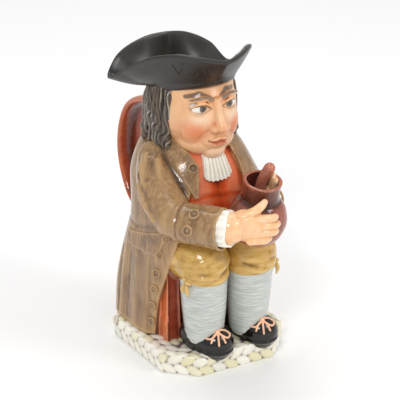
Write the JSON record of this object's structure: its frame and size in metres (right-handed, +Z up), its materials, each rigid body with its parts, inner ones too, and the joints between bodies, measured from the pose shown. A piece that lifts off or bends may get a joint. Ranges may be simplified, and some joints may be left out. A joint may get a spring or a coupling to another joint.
{
  "type": "toby jug",
  "caption": "Hollow glazed earthenware jug shaped as a seated figure in an open cocked hat, holding a little jug, with a strap handle behind and an eight-sided base.",
  "frame": {"origin": "middle of the base's flat underside", "axes": "+Z up, -Y the way the figure faces, +X towards the figure's left hand; the handle stands out behind, towards +Y"},
  "size_m": [0.1129, 0.2075, 0.2497],
  "materials": {
    "glazed_earthenware": "hand painted under and over a clear lead-type glaze"
  },
  "bodies": {
    "root": {"toby_jug": "glazed_earthenware"}
  },
  "joints": []
}
